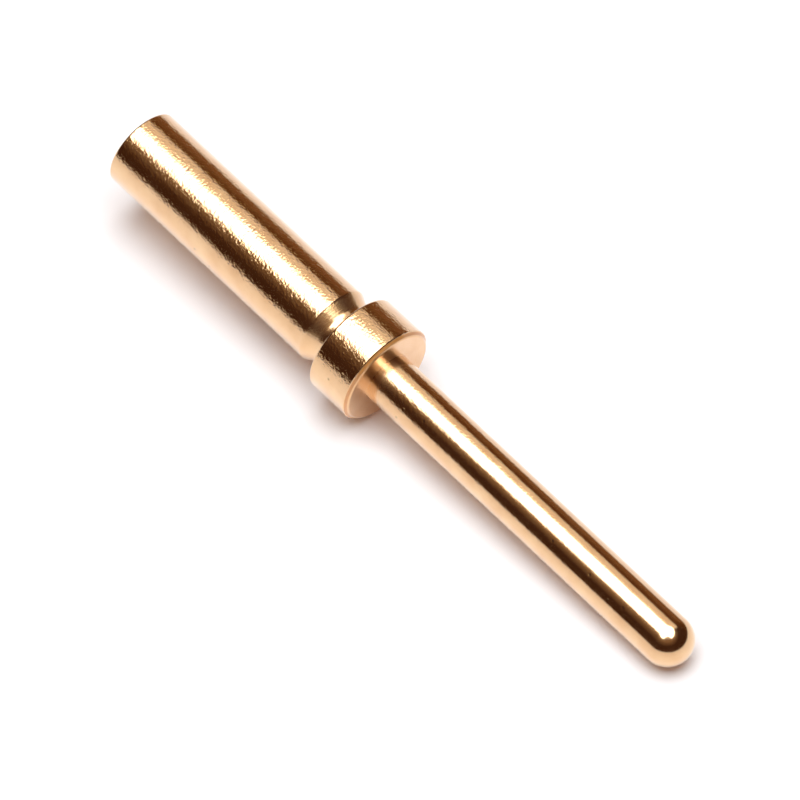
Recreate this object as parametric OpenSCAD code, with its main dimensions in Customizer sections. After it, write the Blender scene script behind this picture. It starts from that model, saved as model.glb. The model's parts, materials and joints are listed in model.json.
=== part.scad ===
// Pin terminal: a turned contact made in one piece, gold plated.
// From the wire end to the tip it is a hollow crimp barrel, a neck, a collar and a mating pin.
// The axis lies along X with the tip at +X, and the origin is the centre of the collar's front face.

/* [Mating pin] */
// Diameter of the mating pin
pin_d = 1.02; // [0.7:0.01:1.2]
// Length of the pin from the collar's front face to the end of its round tip
pin_len = 8.05; // [4:0.05:12]
// Fillet at the root of the pin
pin_root_fillet = 0.02; // [0.01:0.005:0.08]

/* [Collar] */
// Diameter of the collar
collar_d = 2.09; // [1.9:0.01:2.6]
// Length of the collar from its back face to its front face
collar_len = 1.0; // [0.5:0.05:2]
// Length of the chamfer round the collar's front, along the axis
collar_chamfer_len = 0.08; // [0.06:0.01:0.2]
// Depth of the same chamfer, towards the axis
collar_chamfer_depth = 0.08; // [0.06:0.01:0.16]
// Edge radius round the collar's back
collar_edge = 0.02; // [0.01:0.005:0.03]

/* [Neck] */
// Diameter of the neck behind the collar
neck_d = 1.33; // [1.1:0.01:1.5]
// Length of the straight neck between the shoulder and the collar
neck_len = 0.26; // [0.2:0.005:0.8]
// Length of the conical shoulder between the neck and the barrel
shoulder_len = 0.24; // [0.1:0.005:0.4]
// Fillet between the neck and the collar's back face
neck_fillet = 0.04; // [0.02:0.01:0.08]

/* [Crimp barrel] */
// Outside diameter of the crimp barrel
barrel_d = 1.61; // [1.52:0.01:1.8]
// Length of the barrel from its mouth to the shoulder
barrel_len = 5.3; // [4.8:0.05:8]
// Edge radius round the outside of the mouth
mouth_edge = 0.04; // [0.02:0.005:0.06]

/* [Wire bore] */
// Diameter of the bore that takes the stripped wire
bore_d = 1.17; // [0.8:0.01:1.25]
// Depth of the bore's straight wall and lead-in, without the drill point
bore_depth = 4.4; // [3:0.05:4.5]
// Size of the 45 degree lead-in at the mouth
bore_lead_in = 0.08; // [0.04:0.01:0.1]
// Full angle of the drill point at the bottom of the bore
drill_point_angle = 118; // [90:1:140]

/* [Inspection hole] */
// Diameter of the hole through the barrel wall that shows the wire's end
inspection_d = 0.6; // [0.3:0.05:0.8]
// Distance from the end of the bore's straight wall back to the hole's centre
inspection_setback = 0.5; // [0.45:0.05:1.5]

/* [Hidden] */
$fn = 96;

gold_plate = [0.9, 0.69, 0.42];

pin_r = pin_d / 2;
collar_r = collar_d / 2;
neck_r = neck_d / 2;
barrel_r = barrel_d / 2;
bore_r = bore_d / 2;

// Stations along the axis, from the collar's front face
tip_centre = pin_len - pin_r;
collar_back = -collar_len;
neck_back = collar_back - neck_len;
barrel_front = neck_back - shoulder_len;
mouth = barrel_front - barrel_len;
bore_end = mouth + bore_depth;
drill_tip = bore_end + bore_r / tan(drill_point_angle / 2);

// Corners of the turned section as [radius, station, corner radius], from the drill point out to the tip.
// Only right-angled corners have a corner radius.
section_corners = [
    [0, drill_tip, 0],
    [bore_r, bore_end, 0],
    [bore_r, mouth + bore_lead_in, 0],
    [bore_r + bore_lead_in, mouth, 0],
    [barrel_r, mouth, mouth_edge],
    [barrel_r, barrel_front, 0],
    [neck_r, neck_back, 0],
    [neck_r, collar_back, neck_fillet],
    [collar_r, collar_back, collar_edge],
    [collar_r, -collar_chamfer_len, 0],
    [collar_r - collar_chamfer_depth, 0, 0],
    [pin_r, 0, pin_root_fillet],
    [pin_r, tip_centre, 0],
    [0, tip_centre, 0],
];

function point(corner) = [corner[0], corner[1]];
function heading(from, to) = (point(to) - point(from)) / norm(point(to) - point(from));
function to_previous(c, i) = heading(c[i], c[(i + len(c) - 1) % len(c)]);
function to_next(c, i) = heading(c[i], c[(i + 1) % len(c)]);

// Where a corner's arc starts and ends, and the arc's centre
function arc_start(c, i) = point(c[i]) + c[i][2] * to_previous(c, i);
function arc_end(c, i) = point(c[i]) + c[i][2] * to_next(c, i);
function arc_centre(c, i) = point(c[i]) + c[i][2] * (to_previous(c, i) + to_next(c, i));
function is_convex(c, i) = cross(to_next(c, i), to_previous(c, i)) > 0;

// The sliver between a corner's arc and the chord of that arc
module arc_segment(c, i) {
    intersection() {
        translate(arc_centre(c, i))
            circle(r = c[i][2]);
        polygon([arc_start(c, i), point(c[i]), arc_end(c, i)]);
    }
}

// A closed outline with a true arc at each corner that has a radius
module rounded_outline(c) {
    rounded = [for (i = [0 : len(c) - 1]) if (c[i][2] > 0) i];
    difference() {
        union() {
            polygon([
                for (i = [0 : len(c) - 1])
                    each c[i][2] > 0 ? [arc_start(c, i), arc_end(c, i)] : [point(c[i])]
            ]);
            for (i = rounded)
                if (is_convex(c, i))
                    arc_segment(c, i);
        }
        for (i = rounded)
            if (!is_convex(c, i))
                arc_segment(c, i);
    }
}

// Half of the pin's round tip
module tip_section() {
    intersection() {
        translate([0, tip_centre])
            circle(r = pin_r);
        translate([0, tip_centre])
            square(pin_r);
    }
}

module turned_body() {
    rotate([0, 90, 0])
        rotate_extrude() {
            rounded_outline(section_corners);
            tip_section();
        }
}

// The hole leaves the bore straight down, through one wall
module inspection_hole() {
    translate([bore_end - inspection_setback, 0, -barrel_d])
        cylinder(d = inspection_d, h = barrel_d);
}

module pin_contact() {
    color(gold_plate)
        difference() {
            turned_body();
            inspection_hole();
        }
}

pin_contact();
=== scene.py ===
"""Looks of a pin terminal: a turned contact, gold plated, that lies on a white table."""

import json
import math

import bmesh
import bpy
from mathutils import Matrix, Vector


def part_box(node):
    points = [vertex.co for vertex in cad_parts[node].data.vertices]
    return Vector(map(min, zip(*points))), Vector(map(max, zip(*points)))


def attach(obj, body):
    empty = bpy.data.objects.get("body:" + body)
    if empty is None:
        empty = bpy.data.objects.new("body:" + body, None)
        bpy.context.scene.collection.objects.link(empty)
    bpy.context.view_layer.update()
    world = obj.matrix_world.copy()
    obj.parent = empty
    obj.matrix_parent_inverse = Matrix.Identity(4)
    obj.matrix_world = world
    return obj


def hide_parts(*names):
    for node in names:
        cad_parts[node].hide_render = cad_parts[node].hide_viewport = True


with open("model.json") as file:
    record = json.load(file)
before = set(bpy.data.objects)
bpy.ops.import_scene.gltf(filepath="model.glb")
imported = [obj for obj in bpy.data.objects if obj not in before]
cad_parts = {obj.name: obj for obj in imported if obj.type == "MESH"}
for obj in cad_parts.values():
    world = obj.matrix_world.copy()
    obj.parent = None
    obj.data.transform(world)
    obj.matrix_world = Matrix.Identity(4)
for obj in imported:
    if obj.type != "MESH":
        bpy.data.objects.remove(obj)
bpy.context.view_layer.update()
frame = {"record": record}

MM = 0.001

# Sizes of the turned section that the frame gives, in millimetres
mounts = {mount["name"]: mount for mount in frame["record"]["mounts"]}
pin_r = mounts["pin"]["dims"]["r_mm"]
collar_r = mounts["collar_side"]["dims"]["r_mm"]
bore_r = mounts["wire_bore"]["dims"]["r_mm"]
lowest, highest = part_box("pin_contact")
mouth = lowest.x / MM
tip = highest.x / MM

# Sizes that only the solid's own section has, in millimetres, with stations from the collar's front face
collar_back = -1.0
chamfer_len = 0.08
chamfer_depth = 0.08
neck_r = 0.665
neck_back = -1.26
barrel_r = 0.805
barrel_front = -1.5
bore_depth = 4.4
bore_lead_in = 0.08
drill_point_angle = math.radians(118)
inspection_r = 0.3
inspection_setback = 0.5

# Radii of the edges and fillets, in millimetres
mouth_edge = 0.04
shoulder_edge = 0.02
shoulder_blend = 0.2
neck_fillet = 0.04
collar_edge = 0.045
chamfer_edge = 0.015
face_edge = 0.07
broken_edge = 0.015

# Tumbling eases the shoulder's slope, which then reaches this far past both of its corners, in millimetres
shoulder_reach = 0.02

bore_end = mouth + bore_depth
drill_tip = bore_end + bore_r / math.tan(drill_point_angle / 2)

# Corners of the turned section as (station, radius, corner radius), from the drill point out to the tip
SECTION_CORNERS = [
    (drill_tip, 0, 0),
    (bore_end, bore_r, broken_edge),
    (mouth + bore_lead_in, bore_r, broken_edge),
    (mouth, bore_r + bore_lead_in, broken_edge),
    (mouth, barrel_r, mouth_edge),
    (barrel_front - shoulder_reach, barrel_r, shoulder_edge),
    (neck_back + shoulder_reach, neck_r, shoulder_blend),
    (collar_back, neck_r, neck_fillet),
    (collar_back, collar_r, collar_edge),
    (-chamfer_len, collar_r, chamfer_edge),
    (0, collar_r - chamfer_depth, face_edge),
    (0, pin_r, 0),
    (tip, pin_r, pin_r),
    (tip, 0, 0),
]

# How finely the section is drawn, in millimetres and radians
SIDES = 256
ARC_CHORD = 0.02
ARC_TURN = math.radians(10)
RUN_STEP = 0.35
EDGE_SUPPORT = 0.01
SAME_POINT = 1e-6
CREASE = math.radians(40)


def corner_arc(before, corner, after, radius):
    """Points of the arc that rounds one corner of the section."""
    back = (before - corner).normalized()
    ahead = (after - corner).normalized()
    half = back.angle(ahead) / 2
    sweep = math.pi - 2 * half
    centre = corner + (back + ahead).normalized() * radius / math.sin(half)
    start = corner + back * radius / math.tan(half) - centre
    steps = math.ceil(max(sweep / ARC_TURN, sweep * radius / ARC_CHORD))
    turn = math.copysign(sweep, -back.cross(ahead)) / steps
    return [centre + Matrix.Rotation(turn * step, 2) @ start for step in range(steps + 1)]


def straight_run(start, end):
    """Points between two arcs. Those close to its ends keep the arcs' shading off the straight run."""
    length = (end - start).length
    if length < 4 * EDGE_SUPPORT:
        return []
    ahead = (end - start) / length
    near = start + ahead * EDGE_SUPPORT
    far = end - ahead * EDGE_SUPPORT
    steps = math.ceil((far - near).length / RUN_STEP)
    return [near.lerp(far, step / steps) for step in range(steps + 1)]


def turned_section():
    """The section from the drill point round the barrel's mouth to the tip, as (station, radius) points."""
    corners = [Vector((station, radius)) for station, radius, _ in SECTION_CORNERS]
    section = [corners[0]]
    for i in range(1, len(corners)):
        edge = SECTION_CORNERS[i][2]
        arc = corner_arc(corners[i - 1], corners[i], corners[i + 1], edge) if edge else [corners[i]]
        section += straight_run(section[-1], arc[0])
        section += [point for point in arc if (point - section[-1]).length > SAME_POINT]
    return section


def revolved(name, section):
    """The section turned round the X axis into a closed mesh."""
    shape = bmesh.new()
    angles = [2 * math.pi * side / SIDES for side in range(SIDES)]
    rings = []
    for station, radius in section:
        if radius < SAME_POINT:
            rings.append([shape.verts.new((station * MM, 0, 0))] * SIDES)
            continue
        rings.append([
            shape.verts.new(Vector((station, radius * math.sin(a), radius * math.cos(a))) * MM)
            for a in angles
        ])
    for ring, following in zip(rings, rings[1:]):
        for side in range(SIDES):
            corners = [ring[side], ring[side - 1], following[side - 1], following[side]]
            shape.faces.new(dict.fromkeys(corners))
    bmesh.ops.recalc_face_normals(shape, faces=shape.faces)
    mesh = bpy.data.meshes.new(name)
    shape.to_mesh(mesh)
    shape.free()
    piece = bpy.data.objects.new(name, mesh)
    bpy.context.scene.collection.objects.link(piece)
    return piece


def drill_inspection_hole(piece):
    """Cuts the hole that shows the wire's end, straight down through one wall of the barrel."""
    drill = bmesh.new()
    place = Vector((bore_end - inspection_setback, 0, -barrel_r)) * MM
    bmesh.ops.create_cone(
        drill,
        cap_ends=True,
        segments=96,
        radius1=inspection_r * MM,
        radius2=inspection_r * MM,
        depth=barrel_r * MM,
        matrix=Matrix.Translation(place),
    )
    mesh = bpy.data.meshes.new("inspection_drill")
    drill.to_mesh(mesh)
    drill.free()
    cutter = bpy.data.objects.new("inspection_drill", mesh)
    bpy.context.scene.collection.objects.link(cutter)
    cut = piece.modifiers.new("inspection_hole", "BOOLEAN")
    cut.object = cutter
    cut.operation = "DIFFERENCE"
    cut.solver = "EXACT"
    bpy.context.view_layer.objects.active = piece
    bpy.ops.object.modifier_apply(modifier=cut.name)
    bpy.data.objects.remove(cutter)
    bpy.data.meshes.remove(mesh)


def linear(hex_colour):
    """An sRGB hex colour as linear red, green, blue and alpha."""
    shares = [int(hex_colour[i:i + 2], 16) / 255 for i in (1, 3, 5)]
    return [s / 12.92 if s <= 0.04045 else ((s + 0.055) / 1.055) ** 2.4 for s in shares] + [1.0]


def add_node(tree, kind, inputs=None, **settings):
    """Adds a node with its settings, and sets or links its inputs."""
    made = tree.nodes.new(kind)
    for name, value in settings.items():
        setattr(made, name, value)
    for socket, value in (inputs or {}).items():
        if isinstance(value, bpy.types.NodeSocket):
            tree.links.new(value, made.inputs[socket])
        else:
            made.inputs[socket].default_value = value
    return made


# Finish of the plating as (station, roughness, grain, turning marks) along the sides of the section, and
# without the station on the collar's face and chamfer. Tumbling smooths what it reaches, so the shoulder,
# the neck, the pin's root, the face and the chamfer stay duller. The grain fades towards the tip.
FINISH = [
    (mouth, 0.13, 0.85, 0.0),
    (barrel_front - 0.03, 0.13, 0.85, 0.0),
    (barrel_front + 0.03, 0.27, 0.3, 0.12),
    (neck_back - 0.03, 0.27, 0.3, 0.12),
    (neck_back + 0.06, 0.2, 0.4, 0.05),
    (collar_back - 0.01, 0.2, 0.4, 0.05),
    (collar_back + 0.05, 0.13, 1.0, 0.0),
    (-chamfer_len, 0.13, 1.0, 0.0),
    (0.0, 0.22, 0.3, 0.0),
    (0.25, 0.22, 0.4, 0.0),
    (0.6, 0.15, 0.65, 0.0),
    (2.5, 0.15, 0.45, 0.0),
    (5.0, 0.15, 0.25, 0.0),
    (tip, 0.15, 0.1, 0.0),
]
FACE_FINISH = (0.28, 0.2, 0.3)
CHAMFER_FINISH = (0.62, 0.3, 0.9)

# Nicks that the photo shows, as (station, degrees from the top to the near side, radius of the surface)
NICKS = [
    (-4.42, 87, barrel_r),
    (-4.02, 96, barrel_r),
    (-0.53, 73, collar_r),
    (0.79, 82, pin_r),
    (0.86, 52, pin_r),
    (1.33, 41, pin_r),
    (4.79, 40, pin_r),
    (5.77, 38, pin_r),
    (6.34, 51, pin_r),
    (6.68, 41, pin_r),
]


def hard_gold_plate():
    """Hard gold, electroplated bright over turned brass.

    The eye sees a warm mirror. Plating grain frays the edges of reflections on the barrel and the collar,
    is fainter on the pin and nearly gone at the tip. The shoulder, the collar's face and its chamfer are
    duller, with the lathe's rings, and painted a deeper colour there, which stands in for light bouncing
    between the rings. Small nicks show as darker dots.
    """
    material = bpy.data.materials.new("hard_gold_plate_over_turned_brass")
    material.use_nodes = True
    tree = material.node_tree
    shader = tree.nodes["Principled BSDF"]

    # Widths and heights of the plating's grain and ripple, of the lathe's rings and of the nicks
    grain_mm = 0.05
    grain_height_mm = 0.0075
    ripple_mm = 0.25
    ripple_height_mm = 0.004
    ring_mm = 0.03
    ring_height_mm = 0.02
    nick_mm = 0.04
    nick_depth_mm = 0.005

    # Width of the patches where the gold is redder
    blush_mm = 0.4

    place = add_node(tree, "ShaderNodeTexCoord").outputs["Object"]
    in_mm = add_node(
        tree, "ShaderNodeVectorMath", {0: place, "Scale": 1 / MM}, operation="SCALE"
    ).outputs["Vector"]
    station = add_node(tree, "ShaderNodeSeparateXYZ", {"Vector": in_mm}).outputs["X"]
    across = add_node(
        tree, "ShaderNodeVectorMath", {0: in_mm, 1: (0.0, 1.0, 1.0)}, operation="MULTIPLY"
    ).outputs["Vector"]
    radius = add_node(tree, "ShaderNodeVectorMath", {0: across}, operation="LENGTH").outputs["Value"]

    # The finish of the sides here: roughness in red, grain in green, turning marks in blue, which also set
    # the painted deeper tone for light bouncing between the rings
    along = add_node(
        tree, "ShaderNodeMapRange", {"Value": station, "From Min": mouth, "From Max": tip}
    ).outputs["Result"]
    finish_ramp = add_node(tree, "ShaderNodeValToRGB", {"Fac": along})
    stops = finish_ramp.color_ramp.elements
    for index, (at, *finish) in enumerate(FINISH):
        stop = stops[index] if index < 2 else stops.new(1.0)
        stop.position = (at - mouth) / (tip - mouth)
        stop.color = (*finish, 1.0)

    # The collar's face and its chamfer, from where the collar's side ends in to the pin.
    # Tumbling smooths the chamfer's two edges more than the cut between them.
    outer_smooth_mm = 0.012
    inner_smooth_mm = 0.016
    fade_mm = 0.01
    root_mm = 0.001
    root_fade_mm = 0.003
    chamfer_start = -chamfer_len + outer_smooth_mm
    past_side = add_node(
        tree,
        "ShaderNodeMapRange",
        {"Value": station, "From Min": chamfer_start, "From Max": chamfer_start + fade_mm},
    ).outputs["Result"]
    face_start = pin_r + root_mm
    off_pin = add_node(
        tree,
        "ShaderNodeMapRange",
        {"Value": radius, "From Min": face_start, "From Max": face_start + root_fade_mm},
    ).outputs["Result"]
    on_front = add_node(
        tree, "ShaderNodeMath", {0: past_side, 1: off_pin}, operation="MULTIPLY"
    ).outputs["Value"]
    face_end = collar_r - chamfer_depth + inner_smooth_mm
    off_face = add_node(
        tree,
        "ShaderNodeMapRange",
        {"Value": radius, "From Min": face_end, "From Max": face_end + fade_mm},
    ).outputs["Result"]
    on_chamfer = add_node(
        tree, "ShaderNodeMath", {0: past_side, 1: off_face}, operation="MULTIPLY"
    ).outputs["Value"]
    with_face = add_node(
        tree,
        "ShaderNodeMix",
        {"Factor": on_front, "A": finish_ramp.outputs["Color"], "B": (*FACE_FINISH, 1.0)},
        data_type="RGBA",
    ).outputs["Result"]
    with_chamfer = add_node(
        tree,
        "ShaderNodeMix",
        {"Factor": on_chamfer, "A": with_face, "B": (*CHAMFER_FINISH, 1.0)},
        data_type="RGBA",
    ).outputs["Result"]
    finish_here = add_node(tree, "ShaderNodeSeparateColor", {"Color": with_chamfer}).outputs

    # Rings that the lathe's tool left, the same all the way round
    lathe_place = add_node(tree, "ShaderNodeCombineXYZ", {"X": station, "Y": radius}).outputs["Vector"]
    rings = add_node(
        tree, "ShaderNodeTexNoise", {"Vector": lathe_place, "Scale": 1 / ring_mm, "Detail": 1.0}
    ).outputs["Fac"]
    ring_bump = add_node(
        tree,
        "ShaderNodeBump",
        {"Height": rings, "Strength": finish_here["Blue"], "Distance": ring_height_mm * MM},
    ).outputs["Normal"]

    # Slow ripple and fine grain of the plating
    ripple = add_node(
        tree, "ShaderNodeTexNoise", {"Vector": in_mm, "Scale": 1 / ripple_mm, "Detail": 1.0}
    ).outputs["Fac"]
    ripple_bump = add_node(
        tree,
        "ShaderNodeBump",
        {
            "Height": ripple,
            "Strength": finish_here["Green"],
            "Distance": ripple_height_mm * MM,
            "Normal": ring_bump,
        },
    ).outputs["Normal"]
    grain = add_node(
        tree, "ShaderNodeTexNoise", {"Vector": in_mm, "Scale": 1 / grain_mm, "Detail": 2.0}
    ).outputs["Fac"]
    grain_bump = add_node(
        tree,
        "ShaderNodeBump",
        {
            "Height": grain,
            "Strength": finish_here["Green"],
            "Distance": grain_height_mm * MM,
            "Normal": ripple_bump,
        },
    ).outputs["Normal"]

    # The nicks, each a small round dent
    unhurt = None
    for at, turn, surface_r in NICKS:
        angle = math.radians(turn)
        middle = (at, -surface_r * math.sin(angle), surface_r * math.cos(angle))
        away = add_node(
            tree, "ShaderNodeVectorMath", {0: in_mm, 1: middle}, operation="DISTANCE"
        ).outputs["Value"]
        dent = add_node(
            tree,
            "ShaderNodeMapRange",
            {"Value": away, "From Min": 0.0, "From Max": nick_mm},
            interpolation_type="SMOOTHSTEP",
        ).outputs["Result"]
        if unhurt:
            dent = add_node(
                tree, "ShaderNodeMath", {0: unhurt, 1: dent}, operation="MULTIPLY"
            ).outputs["Value"]
        unhurt = dent
    nicked = add_node(
        tree,
        "ShaderNodeBump",
        {"Height": unhurt, "Strength": 1.0, "Distance": nick_depth_mm * MM, "Normal": grain_bump},
    ).outputs["Normal"]

    # The gold is a little redder in broad faint patches. Where the lathe's rings are, it is painted deeper,
    # a painted stand-in for the light that bounces between the rings
    painted_bounce_deepening = 1.2
    blush = add_node(
        tree, "ShaderNodeTexNoise", {"Vector": in_mm, "Scale": 1 / blush_mm, "Detail": 3.0}
    ).outputs["Fac"]
    bright_tone = add_node(
        tree,
        "ShaderNodeMix",
        {"Factor": blush, "A": linear("#F5D2A1"), "B": linear("#D8A56D")},
        data_type="RGBA",
    ).outputs["Result"]
    painted_bounce_share = add_node(
        tree,
        "ShaderNodeMath",
        {0: finish_here["Blue"], 1: painted_bounce_deepening},
        operation="MULTIPLY",
        use_clamp=True,
    ).outputs["Value"]
    # Painted light: the deeper tone #E2A562 stands in for light bouncing between the rings
    tone = add_node(
        tree,
        "ShaderNodeMix",
        {"Factor": painted_bounce_share, "A": bright_tone, "B": linear("#E2A562")},
        data_type="RGBA",
    ).outputs["Result"]
    nicked_tone = add_node(
        tree, "ShaderNodeMix", {"Factor": unhurt, "A": linear("#A07C4A"), "B": tone}, data_type="RGBA"
    ).outputs["Result"]

    tree.links.new(nicked_tone, shader.inputs["Base Color"])
    tree.links.new(finish_here["Red"], shader.inputs["Roughness"])
    tree.links.new(nicked, shader.inputs["Normal"])
    shader.inputs["Metallic"].default_value = 1.0

    # A clear passivation film, which pales the gold towards its outline
    shader.inputs["Coat Weight"].default_value = 1.0
    shader.inputs["Coat Roughness"].default_value = 0.12
    shader.inputs["Coat IOR"].default_value = 1.7
    return material


contact = revolved("gold_contact", turned_section())
drill_inspection_hole(contact)
contact.data.shade_smooth()
contact.data.set_sharp_from_angle(angle=CREASE)
contact.data.materials.append(hard_gold_plate())
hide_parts("pin_contact")
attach(contact, "root")

# The part rests on the front edge of the collar and on its round tip, so the table leans against its axis
edge_to_tip = Vector((tip - pin_r + chamfer_len, collar_r))
table_lean = math.atan2(edge_to_tip.y, edge_to_tip.x) - math.asin(pin_r / edge_to_tip.length)
table_origin = Vector((-chamfer_len, 0, -collar_r)) * MM
TABLE = Matrix.Translation(table_origin) @ Matrix.Rotation(-table_lean, 4, "Y")

# Where the photo was taken from, against the table
CAMERA_AZIMUTH = math.radians(47.5)
CAMERA_ELEVATION = math.radians(53.3)


def white_table():
    """A wide satin board whose far side turns up, which gives the pale horizon that the metal shows."""
    middle_r = 0.02
    flat_r = 0.26
    rim_r = 0.3
    rim_height = 0.02
    upturn = [(middle_r, 0), (flat_r, 0), ((flat_r + rim_r) / 2, rim_height / 4), (rim_r, rim_height)]
    sides = 96
    angles = [2 * math.pi * side / sides for side in range(sides)]
    shape = bmesh.new()
    rings = []
    for radius, height in upturn:
        rings.append([
            shape.verts.new((radius * math.cos(a), radius * math.sin(a), height * max(0, math.sin(a))))
            for a in angles
        ])
    shape.faces.new(rings[0])
    for ring, following in zip(rings, rings[1:]):
        for side in range(sides):
            shape.faces.new((ring[side - 1], ring[side], following[side], following[side - 1]))
    bmesh.ops.recalc_face_normals(shape, faces=shape.faces)
    mesh = bpy.data.meshes.new("white_table")
    shape.to_mesh(mesh)
    shape.free()
    table = bpy.data.objects.new("white_table", mesh)
    table.matrix_world = TABLE
    bpy.context.scene.collection.objects.link(table)

    material = bpy.data.materials.new("satin_white_board")
    material.use_nodes = True
    tree = material.node_tree
    shader = tree.nodes["Principled BSDF"]
    shader.inputs["Base Color"].default_value = linear("#F3F3F4")
    shader.inputs["Roughness"].default_value = 0.4

    # A faint warm glow where the board is seen, directly or in the metal, which warms its shadows
    glow_strength = 0.08
    path = add_node(tree, "ShaderNodeLightPath")
    seen = add_node(
        tree,
        "ShaderNodeMath",
        {0: path.outputs["Is Camera Ray"], 1: path.outputs["Is Glossy Ray"]},
        operation="MAXIMUM",
    ).outputs["Value"]
    glow = add_node(
        tree, "ShaderNodeMath", {0: seen, 1: glow_strength}, operation="MULTIPLY"
    ).outputs["Value"]
    shader.inputs["Emission Color"].default_value = linear("#FFC8B8")
    tree.links.new(glow, shader.inputs["Emission Strength"])
    mesh.materials.append(material)
    mesh.shade_smooth()


def softbox(name, shape, x_range, y_range, height, radiance, colour):
    """A flat lamp over the table. The ranges are slopes from the table's middle, as x or y over height."""
    lamp = bpy.data.lights.new(name, "AREA")
    lamp.shape = shape
    lamp.size = (x_range[1] - x_range[0]) * height
    lamp.size_y = (y_range[1] - y_range[0]) * height
    filled = math.pi / 4 if shape == "ELLIPSE" else 1
    lamp.energy = radiance * math.pi * lamp.size * lamp.size_y * filled
    lamp.color = linear(colour)[:3]
    middle = Vector((sum(x_range) / 2, sum(y_range) / 2, 1)) * height
    lit = bpy.data.objects.new(name, lamp)
    lit.matrix_world = TABLE @ Matrix.Translation(middle)
    bpy.context.scene.collection.objects.link(lit)
    return lamp


def stand_camera_before(lamp, x_range, y_range):
    """Darkens the round patch of a lamp that the camera hides from the contact."""
    # Radii of the patch as shares of the lamp's width, and the light that the camera itself sends back
    hidden_r = 0.24
    clear_r = 0.34
    camera_glint = 0.04
    camera_x = math.sin(CAMERA_AZIMUTH) / math.tan(CAMERA_ELEVATION)
    camera_y = -math.cos(CAMERA_AZIMUTH) / math.tan(CAMERA_ELEVATION)
    hidden = (
        (camera_x - x_range[0]) / (x_range[1] - x_range[0]),
        (camera_y - y_range[0]) / (y_range[1] - y_range[0]),
        0.0,
    )
    lamp.use_nodes = True
    tree = lamp.node_tree
    place = add_node(tree, "ShaderNodeNewGeometry").outputs["Parametric"]
    away = add_node(
        tree, "ShaderNodeVectorMath", {0: place, 1: hidden}, operation="DISTANCE"
    ).outputs["Value"]
    open_share = add_node(
        tree,
        "ShaderNodeMapRange",
        {"Value": away, "From Min": hidden_r, "From Max": clear_r, "To Min": camera_glint},
        interpolation_type="SMOOTHSTEP",
    ).outputs["Result"]
    tree.links.new(open_share, tree.nodes["Emission"].inputs["Strength"])


def dark_room():
    """A dim brown room, with a lighter wall low down beyond the table's far side and the barrel's mouth."""
    world = bpy.data.worlds.new("dark_room")
    bpy.context.scene.world = world
    world.use_nodes = True
    tree = world.node_tree
    direction = add_node(tree, "ShaderNodeTexCoord").outputs["Generated"]
    towards_wall = (-0.5, 0.866, 0.0)

    # Tones of the room as (how squarely a direction faces the wall, colour)
    tones = [(0.55, "#42291B"), (0.85, "#5E3B1C"), (0.94, "#7E593E")]
    facing = add_node(
        tree, "ShaderNodeVectorMath", {0: direction, 1: towards_wall}, operation="DOT_PRODUCT"
    ).outputs["Value"]
    walls = add_node(tree, "ShaderNodeValToRGB", {"Fac": facing})
    stops = walls.color_ramp.elements
    for index, (at, colour) in enumerate(tones):
        stop = stops[index] if index < 2 else stops.new(1.0)
        stop.position = at
        stop.color = linear(colour)
    tree.links.new(walls.outputs["Color"], tree.nodes["Background"].inputs["Color"])


def photo_camera():
    """Looks down on the contact from beyond its tip, on the near side."""
    distance = 200 * MM
    aim = Vector((0.509, -0.147, -0.029)) * MM
    pixels_per_mm = 54.41
    image_px = 800
    lean = TABLE.to_3x3()
    right = lean @ Vector((math.cos(CAMERA_AZIMUTH), math.sin(CAMERA_AZIMUTH), 0))
    back = lean @ Vector((
        math.sin(CAMERA_AZIMUTH) * math.cos(CAMERA_ELEVATION),
        -math.cos(CAMERA_AZIMUTH) * math.cos(CAMERA_ELEVATION),
        math.sin(CAMERA_ELEVATION),
    ))
    up = back.cross(right)
    turn = Matrix((right, up, back)).transposed().to_4x4()
    lens = bpy.data.cameras.new("photo_camera")
    lens.lens = lens.sensor_width * distance * pixels_per_mm / (image_px * MM)
    lens.clip_start = 0.01
    lens.clip_end = 10
    camera = bpy.data.objects.new("photo_camera", lens)
    camera.matrix_world = Matrix.Translation(aim + back * distance) @ turn
    bpy.context.scene.collection.objects.link(camera)
    bpy.context.scene.camera = camera


white_table()
round_x = (-0.49, 0.64)
round_y = (-0.7, 0.42)
round_softbox = softbox(
    "round_softbox", "ELLIPSE", round_x, round_y, height=1.5, radiance=5.3, colour="#F4FAFF"
)
stand_camera_before(round_softbox, round_x, round_y)
softbox(
    "ceiling_glow", "RECTANGLE", (-0.75, 0.17), (0.3, 0.92), height=1.6, radiance=0.82, colour="#FFF6EA"
)
softbox(
    "near_spill", "ELLIPSE", (-0.75, 1.05), (-1.1, 0.45), height=1.7, radiance=0.1, colour="#FFD2A0"
)
softbox(
    "wide_spill", "ELLIPSE", (-1.15, 1.55), (-1.6, 0.6), height=1.8, radiance=0.07, colour="#FFD2A0"
)
dark_room()
photo_camera()
bpy.context.scene.view_settings.view_transform = "Standard"
